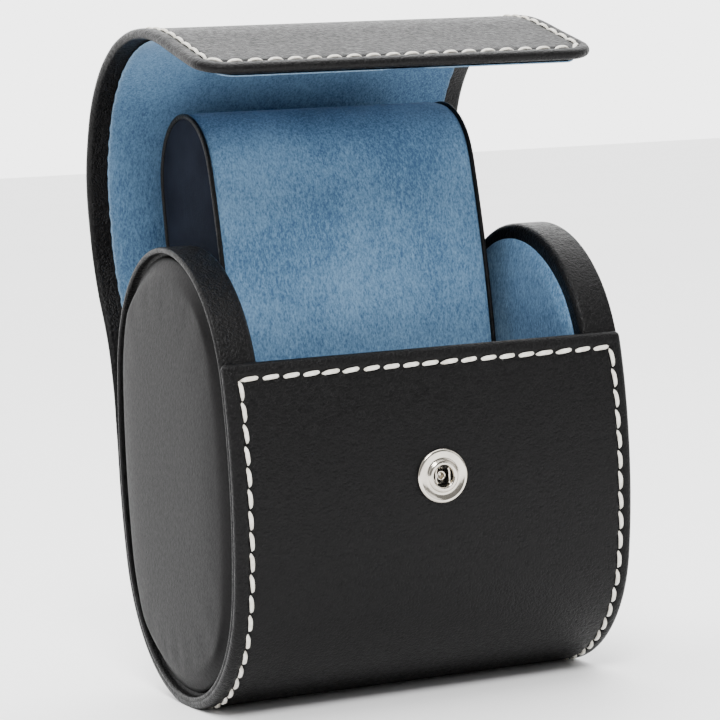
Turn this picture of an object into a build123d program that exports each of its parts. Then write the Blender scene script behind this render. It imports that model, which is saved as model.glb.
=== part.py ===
from build123d import *
import os
from math import atan2, cos, degrees, hypot, pi, radians, sin, tan

# Travel case for one wrist watch: an oval drum lying along X, with a curved lid hinged
# at the back, a press stud on the front and a lift-out watch cushion.
# Millimetres. Origin: middle of the flat under the case. X runs along the drum,
# -Y is the front with the press stud, +Z is up. The lid is modelled open, the cushion raised.

# Oval section of the drum, measured on the outer leather
HALF_DEPTH = 30.0
HALF_HEIGHT = 42.5
END_RADIUS = 28.8
BASE_FLAT_DEPTH = 0.35
AXIS_HEIGHT = HALF_HEIGHT - BASE_FLAT_DEPTH
HALF_LENGTH = 39.0

# Layers of the wall, from the outside in
LEATHER = 1.2
BOARD = 0.8
LINING = 1.0
HEM = 3.5

# End cheeks
CHEEK_WIDTH = 7.2
BAND = 1.1
FLANGE = 0.8
PAD_RECESS = 1.8
PAD_GROOVE = 0.5
PAD_CROWN = 1.6
INNER_PAD_MARGIN = 3.0
INNER_PAD_THICKNESS = 1.7

# Where the body wall stops, as heights above the base
PANEL_TOP = 64.05
WALL_BACK_TOP = 54.15

# Lid, in its open position
LID_CENTRE_Y = 7.5
LID_CENTRE_Z = 90.95
LID_RADIUS = 33.0
LID_LEATHER = 1.2
LID_BOARD = 0.6
LID_LINING = 1.0
LID_START = -19.9
FLAP_START = 83.0
FLAP_BEND_END = 104.0
FLAP_LENGTH = 26.0
JOINT_GAP = 0.35

# Living hinge between the back wall and the lid: two straight strips of leather and lining
STRIP_LEATHER = 1.1
STRIP_LINING = 1.0
STRIP_MIDDLE_Y = 33.4
STRIP_MIDDLE_Z = 68.05
LOW_MITRE = 13.5
MIDDLE_MITRE = 6.2
TOP_MITRE = 27.5
FOLD_GAP = 0.15
CHEEK_CLEARANCE = 0.4

# Press stud
SNAP_X = 0.6
SNAP_HEIGHT = 41.15
SOCKET_RADIUS = 4.8
SOCKET_HOLE = 2.3
SOCKET_PROUD = 1.2
SOCKET_PROFILE = [
    (SOCKET_HOLE, 0.02),
    (SOCKET_HOLE, SOCKET_PROUD - 0.25),
    (SOCKET_HOLE + 0.25, SOCKET_PROUD),
    (SOCKET_HOLE + 0.8, SOCKET_PROUD),
    (SOCKET_HOLE + 1.2, SOCKET_PROUD - 0.35),
    (SOCKET_RADIUS - 0.6, SOCKET_PROUD - 0.3),
    (SOCKET_RADIUS - 0.1, SOCKET_PROUD - 0.6),
    (SOCKET_RADIUS, 0.35),
    (SOCKET_RADIUS - 0.15, 0.02),
]
SPRING_WIRE = 0.22
SPRING_DEPTH = 0.55
EYELET_HOLE = 1.7
EYELET_RADIUS = 1.65
EYELET_BORE = 0.9
EYELET_TOP = 0.2
EYELET_FLARE = 3.6
EYELET_SEAT = -(LEATHER + BOARD + LINING) - 0.12
EYELET_LIP = 0.4
STUD_RADIUS = 1.5
STUD_HEIGHT = 1.3
STUD_NECK = (0.25, 0.3)
STUD_SHOULDER = 0.5
STUD_ROUND = (0.15, 0.2)
STUD_BASE_RADIUS = 4.0
STUD_BASE = 0.5
STUD_ALONG_FLAP = 19.7

# Watch cushion, in its raised position
CUSHION_Y = 14.4
CUSHION_Z = 74.65
CUSHION_LEAN = 9.0
CUSHION_HALF_DEPTH = 14.2
CUSHION_HALF_HEIGHT = 33.0
CUSHION_END_RADIUS = 13.4
CUSHION_HALF_WIDTH = 26.2
CUSHION_WRAP = 1.0
CUSHION_SIDE = 0.9

# Stitching
STITCH_PITCH = 3.75
STITCH_LENGTH = 3.0
STITCH_WIDTH = 0.8
STITCH_PROUD = 0.3
STITCH_INSET = 3.0
STITCH_LIFT = 0.06

INNER_HALF = HALF_LENGTH - CHEEK_WIDTH
FAR = 200.0


def oval_points(half_depth, half_height, end_radius):
    """Centres, side radius and tangent angle of an oval made of four tangent arcs."""
    end_offset = half_height - end_radius
    spare = half_depth - end_radius
    side_offset = (end_offset**2 - spare**2) / (2 * spare)
    side_radius = half_depth + side_offset
    return end_offset, side_offset, side_radius


def four_arc_oval(half_depth, half_height, end_radius):
    """Closed oval face with its centre at (0, 0)."""
    end_offset, side_offset, side_radius = oval_points(half_depth, half_height, end_radius)
    turn = atan2(end_offset, side_offset)
    y = side_radius * cos(turn) - side_offset
    z = side_radius * sin(turn)
    outline = [
        ThreePointArc((y, z), (0, half_height), (-y, z)),
        ThreePointArc((-y, z), (-half_depth, 0), (-y, -z)),
        ThreePointArc((-y, -z), (0, -half_height), (y, -z)),
        ThreePointArc((y, -z), (half_depth, 0), (y, z)),
    ]
    return make_face(outline)


def oval(grow=0.0):
    """Section of the drum, grown outwards, at its height above the base."""
    face = four_arc_oval(HALF_DEPTH + grow, HALF_HEIGHT + grow, END_RADIUS + grow)
    return Pos(0, AXIS_HEIGHT) * face


def oval_ring(outer, inner):
    return oval(outer) - oval(inner)


def box2d(y0, y1, z0, z1):
    return Pos((y0 + y1) / 2, (z0 + z1) / 2) * Rectangle(y1 - y0, z1 - z0)


def slab(section, x0, x1):
    """Solid with the given YZ section between two X values."""
    return extrude(Plane.YZ.offset(x0) * section, x1 - x0)


def wall_region(front_top, back_top):
    """Part of the section that the body wall covers, above the small flat under it."""
    front = box2d(-FAR, 0, 0, front_top)
    back = box2d(0, FAR, 0, back_top)
    return front + back


def front_hole(radius):
    """Cylinder along Y through the front wall at the press stud."""
    axis = Plane(origin=(SNAP_X, 0, SNAP_HEIGHT), z_dir=(0, -1, 0))
    return extrude(axis * Circle(radius), HALF_DEPTH + 20)


# Body of the case


def body_leather():
    """Outer leather, with its top edge turned in between the cheeks."""
    region = wall_region(PANEL_TOP, WALL_BACK_TOP - FOLD_GAP)
    skin = slab(oval_ring(0, -LEATHER) & region, -HALF_LENGTH, HALF_LENGTH)
    depth = LEATHER + BOARD + LINING
    edge = oval_ring(-LEATHER, -depth) & box2d(-FAR, 0, PANEL_TOP - LEATHER, PANEL_TOP)
    hem = oval_ring(-LEATHER - BOARD, -depth) & box2d(-FAR, 0, PANEL_TOP - HEM, PANEL_TOP)
    turned = slab(edge + hem, -INNER_HALF, INNER_HALF)
    return skin + turned - front_hole(EYELET_HOLE)


def body_board():
    region = wall_region(PANEL_TOP - LEATHER, WALL_BACK_TOP - FOLD_GAP)
    section = oval_ring(-LEATHER, -LEATHER - BOARD) & region
    return slab(section, -INNER_HALF, INNER_HALF) - front_hole(EYELET_HOLE)


def body_lining():
    region = wall_region(PANEL_TOP - HEM, WALL_BACK_TOP - FOLD_GAP)
    depth = LEATHER + BOARD
    section = oval_ring(-depth, -depth - LINING) & region
    return slab(section, -INNER_HALF, INNER_HALF) - front_hole(EYELET_HOLE)


def cheek_core():
    """Oval end block of the right-hand cheek."""
    inner = INNER_HALF + FLANGE
    return slab(oval(-LEATHER - BAND), inner, HALF_LENGTH - PAD_RECESS - BOARD)


def cheek_band():
    """Leather round the cheek, turned over onto its inner face."""
    tube = slab(oval_ring(-LEATHER, -LEATHER - BAND), INNER_HALF, HALF_LENGTH)
    flange = slab(oval_ring(-LEATHER, -LEATHER - BAND - HEM), INNER_HALF, INNER_HALF + FLANGE)
    return tube + flange


def end_board():
    outer = HALF_LENGTH - PAD_RECESS
    return slab(oval(-LEATHER - BAND - PAD_GROOVE), outer - BOARD, outer)


def end_pad():
    """Padded leather oval that stands a little proud of the rim."""
    outer = HALF_LENGTH - PAD_RECESS
    pad = slab(oval(-LEATHER - BAND - PAD_GROOVE), outer, HALF_LENGTH + PAD_CROWN)
    rim = pad.edges().group_by(Axis.X)[-1]
    return chamfer(rim, 1.4)


def inner_pad():
    """Padded velour oval on the face of the cheek that the cushion sits against."""
    grow = -LEATHER - INNER_PAD_MARGIN
    pad = slab(oval(grow), INNER_HALF - INNER_PAD_THICKNESS, INNER_HALF)
    rim = pad.edges().group_by(Axis.X)[0]
    return chamfer(rim, 1.1)


def cheek_filler():
    """Flat disc that fills the space inside the turned-over leather."""
    return slab(oval(-LEATHER - BAND - HEM), INNER_HALF, INNER_HALF + FLANGE)


# Press stud, female half on the front wall


def revolved(profile, base_y):
    """Solid of revolution about the press stud's axis; profile is (radius, height) points."""
    face = make_face(Polyline(profile, close=True))
    turned = revolve(Plane.XZ * face, Axis.Z)
    place = Plane(origin=(SNAP_X, base_y, SNAP_HEIGHT), z_dir=(0, -1, 0))
    return place * turned


def snap_socket_ring():
    """Dished ring with a rolled rim and an inner bead."""
    return revolved(SOCKET_PROFILE, -HALF_DEPTH)


def snap_socket_eyelet():
    """Hollow rivet that clamps the socket through the wall, flared on the inside."""
    profile = [
        (EYELET_BORE, EYELET_TOP),
        (EYELET_RADIUS, EYELET_TOP),
        (EYELET_RADIUS, EYELET_SEAT),
        (EYELET_FLARE, EYELET_SEAT),
        (EYELET_FLARE, EYELET_SEAT - EYELET_LIP),
        (EYELET_BORE, EYELET_SEAT - EYELET_LIP),
    ]
    return revolved(profile, -HALF_DEPTH)


def snap_socket_spring():
    """Two legs of the retaining spring, either side of the hole."""
    offset = SOCKET_HOLE - 1.6 * SPRING_WIRE
    half = (SOCKET_HOLE**2 - (offset + SPRING_WIRE) ** 2) ** 0.5 - 0.02
    y = -HALF_DEPTH - SOCKET_PROUD + SPRING_DEPTH
    legs = []
    for side in (-1, 1):
        bottom = Plane(origin=(SNAP_X + side * offset, y, SNAP_HEIGHT - half), z_dir=(0, 0, 1))
        legs.append(extrude(bottom * Circle(SPRING_WIRE), 2 * half))
    return Compound(children=legs)


# Lid


def lid_point(radius, angle):
    """Point on the open lid's section, by radius and angle about the lid's centre."""
    a = radians(angle)
    return (LID_CENTRE_Y + radius * cos(a), LID_CENTRE_Z + radius * sin(a))


def lid_sector(outer, inner, start, end):
    """Curved band of the lid's section between two depths below the outer leather."""
    middle = (start + end) / 2
    r_out = LID_RADIUS - outer
    r_in = LID_RADIUS - inner
    outline = [
        ThreePointArc(lid_point(r_out, start), lid_point(r_out, middle), lid_point(r_out, end)),
        Line(lid_point(r_out, end), lid_point(r_in, end)),
        ThreePointArc(lid_point(r_in, end), lid_point(r_in, middle), lid_point(r_in, start)),
        Line(lid_point(r_in, start), lid_point(r_out, start)),
    ]
    return make_face(outline)


def flap_point(depth, along):
    """Point on the straight part of the flap, along it from where the bend ends."""
    y, z = lid_point(LID_RADIUS - depth, FLAP_BEND_END)
    a = radians(FLAP_BEND_END + 90)
    return (y + along * cos(a), z + along * sin(a))


def flap_straight(outer, inner, start, end):
    corners = [(outer, start), (outer, end), (inner, end), (inner, start)]
    return make_face(Polyline([flap_point(d, s) for d, s in corners], close=True))


def flap_layer(outer, inner, end):
    bend = lid_sector(outer, inner, FLAP_START + JOINT_GAP, FLAP_BEND_END)
    return bend + flap_straight(outer, inner, 0, end)


LID_DEPTH = LID_LEATHER + LID_BOARD + LID_LINING
LID_EDGE = LID_START + degrees(FOLD_GAP / LID_RADIUS)


def lid_leather():
    """Leather shell of the lid, turned in along both sides."""
    skin = slab(lid_sector(0, LID_LEATHER, LID_EDGE, FLAP_START), -HALF_LENGTH, HALF_LENGTH)
    edge = lid_sector(LID_LEATHER, LID_DEPTH, LID_EDGE, FLAP_START)
    hem = lid_sector(LID_LEATHER + LID_BOARD, LID_DEPTH, LID_EDGE, FLAP_START)
    return skin + side_turnings(edge, hem)


def side_turnings(edge, hem):
    """Turned edge and hem on both sides of the lid, from their two sections."""
    pieces = []
    for side in (-1, 1):
        rim = sorted((side * (HALF_LENGTH - LID_LEATHER), side * HALF_LENGTH))
        strip = sorted((side * (HALF_LENGTH - HEM), side * HALF_LENGTH))
        pieces.append(slab(edge, *rim))
        pieces.append(slab(hem, *strip))
    return pieces[0] + pieces[1] + pieces[2] + pieces[3]


def lid_board():
    section = lid_sector(LID_LEATHER, LID_LEATHER + LID_BOARD, LID_EDGE, FLAP_START)
    half = HALF_LENGTH - LID_LEATHER
    return slab(section, -half, half)


def lid_lining():
    section = lid_sector(LID_LEATHER + LID_BOARD, LID_DEPTH, LID_EDGE, FLAP_START)
    half = HALF_LENGTH - HEM
    return slab(section, -half, half)


def flap_leather():
    """Leather of the front flap, turned in along both sides and the front edge."""
    skin = slab(flap_layer(0, LID_LEATHER, FLAP_LENGTH), -HALF_LENGTH, HALF_LENGTH)
    edge = flap_layer(LID_LEATHER, LID_DEPTH, FLAP_LENGTH)
    hem = flap_layer(LID_LEATHER + LID_BOARD, LID_DEPTH, FLAP_LENGTH)
    front_rim = flap_straight(LID_LEATHER, LID_DEPTH, FLAP_LENGTH - LID_LEATHER, FLAP_LENGTH)
    front_hem = flap_straight(LID_LEATHER + LID_BOARD, LID_DEPTH, FLAP_LENGTH - HEM, FLAP_LENGTH)
    front = slab(front_rim + front_hem, -HALF_LENGTH, HALF_LENGTH)
    return skin + side_turnings(edge, hem) + front


def flap_board():
    section = flap_layer(LID_LEATHER, LID_LEATHER + LID_BOARD, FLAP_LENGTH - LID_LEATHER)
    half = HALF_LENGTH - LID_LEATHER
    return slab(section, -half, half) - stud_cylinder(STUD_BASE_RADIUS + 0.1)


def flap_lining():
    section = flap_layer(LID_LEATHER + LID_BOARD, LID_DEPTH, FLAP_LENGTH - HEM)
    half = HALF_LENGTH - HEM
    return slab(section, -half, half) - stud_cylinder(STUD_RADIUS + 0.15)


# Press stud, male half in the flap


def stud_plane(depth):
    """Plane across the stud's axis at a depth below the flap's outer face, facing inwards."""
    y, z = flap_point(depth, STUD_ALONG_FLAP)
    inwards = radians(FLAP_BEND_END + 180)
    return Plane(origin=(SNAP_X, y, z), x_dir=(1, 0, 0), z_dir=(0, cos(inwards), sin(inwards)))


def stud_cylinder(radius):
    return extrude(stud_plane(LID_LEATHER) * Circle(radius), LID_DEPTH)


def snap_stud_base():
    """Thin cap between the leather and the lining that holds the stud."""
    return extrude(stud_plane(LID_LEATHER) * Circle(STUD_BASE_RADIUS), STUD_BASE)


def snap_stud():
    """Post with a rounded, slightly undercut head."""
    root = LID_DEPTH - LID_LEATHER - STUD_BASE
    top = root + STUD_HEIGHT
    profile = [
        (0, 0),
        (STUD_RADIUS, 0),
        (STUD_RADIUS, root),
        (STUD_RADIUS - STUD_NECK[0], root + STUD_NECK[1]),
        (STUD_RADIUS, top - STUD_SHOULDER),
        (STUD_RADIUS - STUD_ROUND[0], top - STUD_ROUND[1]),
        (STUD_RADIUS - STUD_SHOULDER, top),
        (0, top),
    ]
    face = make_face(Polyline(profile, close=True))
    turned = revolve(Plane.XZ * face, Axis.Z)
    return stud_plane(LID_LEATHER + STUD_BASE) * turned


# Living hinge


def strip_layer(low, high, mitres, depths, half):
    """One layer of a strip from fold low to fold high, mitred so that it can fold shut."""
    y0, z0 = low
    length = hypot(high[0] - y0, high[1] - z0)
    lean = atan2(high[0] - y0, high[1] - z0)
    corners = []
    for depth in depths:
        start = FOLD_GAP + depth * tan(radians(mitres[0]))
        end = length - FOLD_GAP - depth * tan(radians(mitres[1]))
        ends = (start, end) if depth == depths[0] else (end, start)
        for along in ends:
            y = y0 + along * sin(lean) - depth * cos(lean)
            z = z0 + along * cos(lean) + depth * sin(lean)
            corners.append((y, z))
    return slab(make_face(Polyline(corners, close=True)), -half, half)


LOW_FOLD = (HALF_DEPTH, WALL_BACK_TOP)
MIDDLE_FOLD = (STRIP_MIDDLE_Y, STRIP_MIDDLE_Z)
TOP_FOLD = lid_point(LID_RADIUS, LID_START)
LEATHER_DEPTHS = (0, STRIP_LEATHER)
LINING_DEPTHS = (STRIP_LEATHER, STRIP_LEATHER + STRIP_LINING)
LINING_HALF = INNER_HALF - CHEEK_CLEARANCE


def hinge_lower_leather():
    mitres = (LOW_MITRE, MIDDLE_MITRE)
    return strip_layer(LOW_FOLD, MIDDLE_FOLD, mitres, LEATHER_DEPTHS, HALF_LENGTH)


def hinge_lower_lining():
    mitres = (LOW_MITRE, MIDDLE_MITRE)
    return strip_layer(LOW_FOLD, MIDDLE_FOLD, mitres, LINING_DEPTHS, LINING_HALF)


def hinge_upper_leather():
    mitres = (MIDDLE_MITRE, TOP_MITRE)
    return strip_layer(MIDDLE_FOLD, TOP_FOLD, mitres, LEATHER_DEPTHS, HALF_LENGTH)


def hinge_upper_lining():
    mitres = (MIDDLE_MITRE, TOP_MITRE)
    return strip_layer(MIDDLE_FOLD, TOP_FOLD, mitres, LINING_DEPTHS, LINING_HALF)


# Watch cushion


def cushion_section(shrink=0.0):
    face = four_arc_oval(
        CUSHION_HALF_DEPTH - shrink, CUSHION_HALF_HEIGHT - shrink, CUSHION_END_RADIUS - shrink
    )
    return Pos(CUSHION_Y, CUSHION_Z) * Rot(0, 0, -CUSHION_LEAN) * face


def cushion_core():
    return slab(cushion_section(CUSHION_WRAP), -CUSHION_HALF_WIDTH, CUSHION_HALF_WIDTH)


def cushion_wrap():
    ring = cushion_section() - cushion_section(CUSHION_WRAP)
    return slab(ring, -CUSHION_HALF_WIDTH, CUSHION_HALF_WIDTH)


def cushion_side():
    """Side panel at the right-hand end."""
    return slab(cushion_section(), CUSHION_HALF_WIDTH, CUSHION_HALF_WIDTH + CUSHION_SIDE)


# Stitching: each stitch is a short bar lying on the leather


def stitch(x, y, z, along, outward):
    """Bar centred over a point of the surface; along and outward are unit directions."""
    plane = Plane(origin=(x, y, z), x_dir=along, z_dir=outward)
    bar = Pos(0, 0, STITCH_LIFT + STITCH_PROUD / 2) * Box(STITCH_LENGTH, STITCH_WIDTH, STITCH_PROUD)
    return plane * bar


def oval_station(distance):
    """Point and outward angle on the drum's section, by arc length from mid-front, downwards."""
    end_offset, side_offset, side_radius = oval_points(HALF_DEPTH, HALF_HEIGHT, END_RADIUS)
    turn = atan2(end_offset, side_offset)
    side = side_radius * turn
    end = END_RADIUS * (pi - 2 * turn)
    if distance <= side:
        angle = pi + distance / side_radius
        return side_offset + side_radius * cos(angle), AXIS_HEIGHT + side_radius * sin(angle), angle
    if distance <= side + end:
        angle = pi + turn + (distance - side) / END_RADIUS
        bottom = AXIS_HEIGHT - end_offset
        return END_RADIUS * cos(angle), bottom + END_RADIUS * sin(angle), angle
    angle = 2 * pi - turn + (distance - side - end) / side_radius
    return side_radius * cos(angle) - side_offset, AXIS_HEIGHT + side_radius * sin(angle), angle


def upper_front_station(distance):
    """As oval_station, by arc length from mid-front upwards."""
    y, z, angle = oval_station(distance)
    return y, 2 * AXIS_HEIGHT - z, 2 * pi - angle


def wall_stations():
    """Stitch places down the front, under the drum and up the back wall."""
    stations = []
    length = STITCH_PITCH / 2
    while upper_front_station(length)[1] < PANEL_TOP - STITCH_INSET - STITCH_PITCH / 2:
        stations.append(upper_front_station(length))
        length += STITCH_PITCH
    length = STITCH_PITCH / 2
    while True:
        y, z, angle = oval_station(length)
        if y > 0 and z > WALL_BACK_TOP - STITCH_PITCH / 2:
            return stations
        if z > 2 * STITCH_PROUD + 0.4:
            stations.append((y, z, angle))
        length += STITCH_PITCH


def row_across(half, y, z, angle):
    """Stitches along X at one place of the section."""
    outward = (0, cos(angle), sin(angle))
    count = int(2 * half / STITCH_PITCH)
    start = -(count - 1) * STITCH_PITCH / 2
    return [stitch(start + i * STITCH_PITCH, y, z, (1, 0, 0), outward) for i in range(count)]


def row_along(stations):
    """Stitches beside both end edges, at each (y, z, angle) of the section."""
    bars = []
    for y, z, angle in stations:
        along = (0, -sin(angle), cos(angle))
        outward = (0, cos(angle), sin(angle))
        for x in (-HALF_LENGTH + STITCH_INSET, HALF_LENGTH - STITCH_INSET):
            bars.append(stitch(x, y, z, along, outward))
    return bars


def body_stitching():
    top = AXIS_HEIGHT + HALF_HEIGHT - END_RADIUS
    z = PANEL_TOP - STITCH_INSET
    angle = pi - atan2(z - top, (END_RADIUS**2 - (z - top) ** 2) ** 0.5)
    y = END_RADIUS * cos(angle)
    across = row_across(HALF_LENGTH - STITCH_INSET, y, z, angle)
    return Compound(children=across + row_along(wall_stations()))


def lid_stations(start, end):
    step = degrees(STITCH_PITCH / LID_RADIUS)
    count = int((end - start) / step)
    spare = (end - start - count * step) / 2
    stations = []
    for i in range(count):
        angle = start + spare + (i + 0.5) * step
        y, z = lid_point(LID_RADIUS, angle)
        stations.append((y, z, radians(angle)))
    return stations


def lid_stitching():
    return Compound(children=row_along(lid_stations(LID_START, FLAP_START)))


def flap_stitching():
    stations = lid_stations(FLAP_START + JOINT_GAP, FLAP_BEND_END)
    outward = radians(FLAP_BEND_END)
    along = STITCH_PITCH / 2
    while along < FLAP_LENGTH - STITCH_INSET - STITCH_PITCH / 2:
        y, z = flap_point(0, along)
        stations.append((y, z, outward))
        along += STITCH_PITCH
    y, z = flap_point(0, FLAP_LENGTH - STITCH_INSET)
    across = row_across(HALF_LENGTH - STITCH_INSET, y, z, outward)
    return Compound(children=across + row_along(stations))


def strip_stitching(low, high):
    """Stitches beside both ends of one strip of the living hinge."""
    run = (high[0] - low[0], high[1] - low[1])
    count = round(hypot(*run) / STITCH_PITCH)
    outward = atan2(-run[0], run[1])
    stations = []
    for i in range(count):
        at = (i + 0.5) / count
        stations.append((low[0] + at * run[0], low[1] + at * run[1], outward))
    return Compound(children=row_along(stations))


def hinge_lower_stitching():
    return strip_stitching(LOW_FOLD, MIDDLE_FOLD)


def hinge_upper_stitching():
    return strip_stitching(MIDDLE_FOLD, TOP_FOLD)


def write(name, shape):
    shape.label = name
    export_step(shape, f"parts/{name}.step")


def main():
    os.makedirs("parts", exist_ok=True)
    for make in (
        body_leather, body_board, body_lining, body_stitching,
        snap_socket_ring, snap_socket_eyelet, snap_socket_spring,
        hinge_lower_leather, hinge_lower_lining, hinge_lower_stitching,
        hinge_upper_leather, hinge_upper_lining, hinge_upper_stitching,
        lid_leather, lid_board, lid_lining, lid_stitching,
        flap_leather, flap_board, flap_lining, flap_stitching,
        snap_stud, snap_stud_base, cushion_core, cushion_wrap,
    ):
        write(make.__name__, make())
    for make in (cheek_core, cheek_band, cheek_filler, end_board, end_pad, inner_pad, cushion_side):
        right = make()
        write(f"right_{make.__name__}", right)
        write(f"left_{make.__name__}", mirror(right, about=Plane.YZ))


main()
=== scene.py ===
import math
import random

import bpy
import numpy as np
from mathutils import Matrix, Vector


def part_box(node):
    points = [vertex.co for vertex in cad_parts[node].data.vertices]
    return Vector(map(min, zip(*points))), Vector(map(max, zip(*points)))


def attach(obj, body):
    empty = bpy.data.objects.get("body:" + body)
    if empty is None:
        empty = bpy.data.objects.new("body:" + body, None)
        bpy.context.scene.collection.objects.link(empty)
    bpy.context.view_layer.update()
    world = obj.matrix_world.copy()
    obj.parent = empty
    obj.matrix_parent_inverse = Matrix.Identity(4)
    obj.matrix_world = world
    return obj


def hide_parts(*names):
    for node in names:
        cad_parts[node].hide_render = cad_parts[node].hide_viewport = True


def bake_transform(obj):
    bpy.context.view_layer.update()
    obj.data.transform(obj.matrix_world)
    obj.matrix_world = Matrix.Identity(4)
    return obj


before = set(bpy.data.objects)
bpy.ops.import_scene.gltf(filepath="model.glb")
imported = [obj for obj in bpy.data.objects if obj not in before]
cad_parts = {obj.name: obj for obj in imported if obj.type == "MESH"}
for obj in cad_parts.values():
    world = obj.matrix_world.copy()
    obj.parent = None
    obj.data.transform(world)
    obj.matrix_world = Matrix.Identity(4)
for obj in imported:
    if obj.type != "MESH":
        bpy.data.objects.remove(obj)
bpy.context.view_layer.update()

# Visual model of a watch travel case: an oval leather drum with a curved lid, velour lining,
# a padded watch cushion and a press stud. Lengths below are in millimetres unless named _M;
# mesh points are turned into metres when a mesh is made.

MM = 0.001
RNG = random.Random(23)

# Oval section of the drum
HALF_DEPTH = 30.0
HALF_HEIGHT = 42.5
END_RADIUS = 28.8
AXIS_Z = 42.15
END_OFFSET = HALF_HEIGHT - END_RADIUS
SPARE = HALF_DEPTH - END_RADIUS
SIDE_OFFSET = (END_OFFSET**2 - SPARE**2) / (2 * SPARE)
SIDE_RADIUS = HALF_DEPTH + SIDE_OFFSET
TURN = math.atan2(END_OFFSET, SIDE_OFFSET)

HALF_LENGTH = 39.0
INNER_HALF = 31.8

# Leather wrap: one sheet from the panel's top edge, under the drum and up to the lid's front edge
WRAP_THICK = 1.8
HINGE_THINNING = 0.65
LINING_THICK = 0.6
LID_SPINE = [
    (30.0, 49.0), (30.05, 54.15), (30.9, 60.0), (31.9, 64.3), (33.6, 68.7), (35.7, 73.0),
    (37.7, 79.2), (39.2, 86.6), (39.6, 93.3), (38.6, 99.8), (34.7, 109.0), (28.5, 115.9),
    (21.2, 120.2), (14.2, 122.2), (8.2, 122.8), (2.4, 122.5), (-3.6, 121.4), (-11.6, 119.0),
    (-19.4, 116.7), (-25.6, 114.9),
]
PANEL_TOP_ANGLE = math.radians(163.46)
CORNER_LID = 6.5
CORNER_PANEL = 1.0
STITCH_PITCH = 3.75
STITCH_INSET = {-1: 3.0, 1: 2.4}
HEM = 3.9
LINING_START = 3.6
FRONT_LIP = 0.9
STUD_FROM_FRONT = 6.3

SNAP = (0.6, 41.15)
SOCKET_COVER = 4.4


# Mesh helpers


def mesh_object(name, verts_mm, faces, material, smooth=True, normals=None):
    """Object from points in millimetres, with optional custom vertex normals."""
    mesh = bpy.data.meshes.new(name)
    mesh.from_pydata([tuple(v) for v in np.asarray(verts_mm, float) * MM], [], faces)
    mesh.validate()
    mesh.polygons.foreach_set("use_smooth", [smooth] * len(mesh.polygons))
    if normals is not None:
        mesh.normals_split_custom_set_from_vertices([tuple(n) for n in normals])
    obj = bpy.data.objects.new(name, mesh)
    bpy.context.scene.collection.objects.link(obj)
    mesh.materials.append(material)
    return obj


def vertex_normals(verts, faces):
    """Area-weighted vertex normals of a quad mesh."""
    verts = np.asarray(verts, float)
    quads = np.asarray(faces, int)
    cross = np.cross(verts[quads[:, 2]] - verts[quads[:, 0]], verts[quads[:, 3]] - verts[quads[:, 1]])
    normals = np.zeros_like(verts)
    for corner in range(4):
        np.add.at(normals, quads[:, corner], cross)
    length = np.linalg.norm(normals, axis=1, keepdims=True)
    return normals / np.maximum(length, 1e-12)


def grid_faces(rows, cols, offset=0, wrap=False, flip=False):
    """Quads of a grid stored row by row."""
    faces = []
    for r in range(rows - 1):
        for c in range(cols if wrap else cols - 1):
            d = (c + 1) % cols
            quad = (r * cols + c, r * cols + d, (r + 1) * cols + d, (r + 1) * cols + c)
            faces.append(tuple(offset + q for q in (quad[::-1] if flip else quad)))
    return faces


def subdivide(obj, levels=1):
    """Adds and applies a subdivision surface."""
    modifier = obj.modifiers.new("smooth", "SUBSURF")
    modifier.levels = levels
    modifier.render_levels = levels
    apply_modifiers(obj)


def apply_modifiers(obj):
    bpy.context.view_layer.update()
    graph = bpy.context.evaluated_depsgraph_get()
    mesh = bpy.data.meshes.new_from_object(obj.evaluated_get(graph))
    obj.modifiers.clear()
    old = obj.data
    obj.data = mesh
    bpy.data.meshes.remove(old)


def set_attribute(obj, name, values):
    layer = obj.data.attributes.new(name, "FLOAT", "POINT")
    layer.data.foreach_set("value", np.asarray(values, np.float32))


# The oval


def oval_point(angle, grow=0.0):
    """Point (y, z) of the drum's section whose outward normal is at this angle."""
    a = (angle + math.pi) % (2 * math.pi) - math.pi
    if abs(a) <= TURN:
        centre, radius = (-SIDE_OFFSET, 0.0), SIDE_RADIUS
    elif abs(a) >= math.pi - TURN:
        centre, radius = (SIDE_OFFSET, 0.0), SIDE_RADIUS
    else:
        centre, radius = (0.0, math.copysign(END_OFFSET, a)), END_RADIUS
    radius += grow
    return centre[0] + radius * math.cos(a), AXIS_Z + centre[1] + radius * math.sin(a)


def oval_angles(start, end, step):
    """Normal angles along the oval at about equal arc lengths."""
    fine = np.linspace(start, end, 4000)
    points = np.array([oval_point(a) for a in fine])
    length = np.concatenate([[0], np.cumsum(np.linalg.norm(np.diff(points, axis=0), axis=1))])
    count = max(2, round(length[-1] / step) + 1)
    return np.interp(np.linspace(0, length[-1], count), length, fine)


OVAL_COUNT = 168
OVAL_LOOP = oval_angles(-math.pi / 2, 1.5 * math.pi, 221.0 / OVAL_COUNT)[:-1]


def oval_lathe(name, profile, side, material, smooth=True):
    """Closed band along the oval; profile is (grow, x) points, mirrored for the left end."""
    verts = []
    for grow, x in profile:
        for a in OVAL_LOOP:
            y, z = oval_point(a, grow)
            verts.append((side * x, y, z))
    faces = grid_faces(len(profile), len(OVAL_LOOP), wrap=True, flip=side < 0)
    return mesh_object(name, verts, faces, material, smooth)


# The wrap's section path


def spline_points(points, step):
    """Catmull-Rom curve through the points, as a dense polyline."""
    pts = np.array(points, float)
    pts = np.vstack([2 * pts[0] - pts[1], pts, 2 * pts[-1] - pts[-2]])
    dense = []
    for i in range(1, len(pts) - 2):
        p0, p1, p2, p3 = pts[i - 1 : i + 3]
        count = max(2, int(np.linalg.norm(p2 - p1) / step))
        for t in np.arange(count) / count:
            dense.append(
                0.5 * (2 * p1 + (p2 - p0) * t + (2 * p0 - 5 * p1 + 4 * p2 - p3) * t**2
                       + (3 * p1 - p0 - 3 * p2 + p3) * t**3)
            )
    dense.append(pts[-2])
    return np.array(dense)


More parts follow.
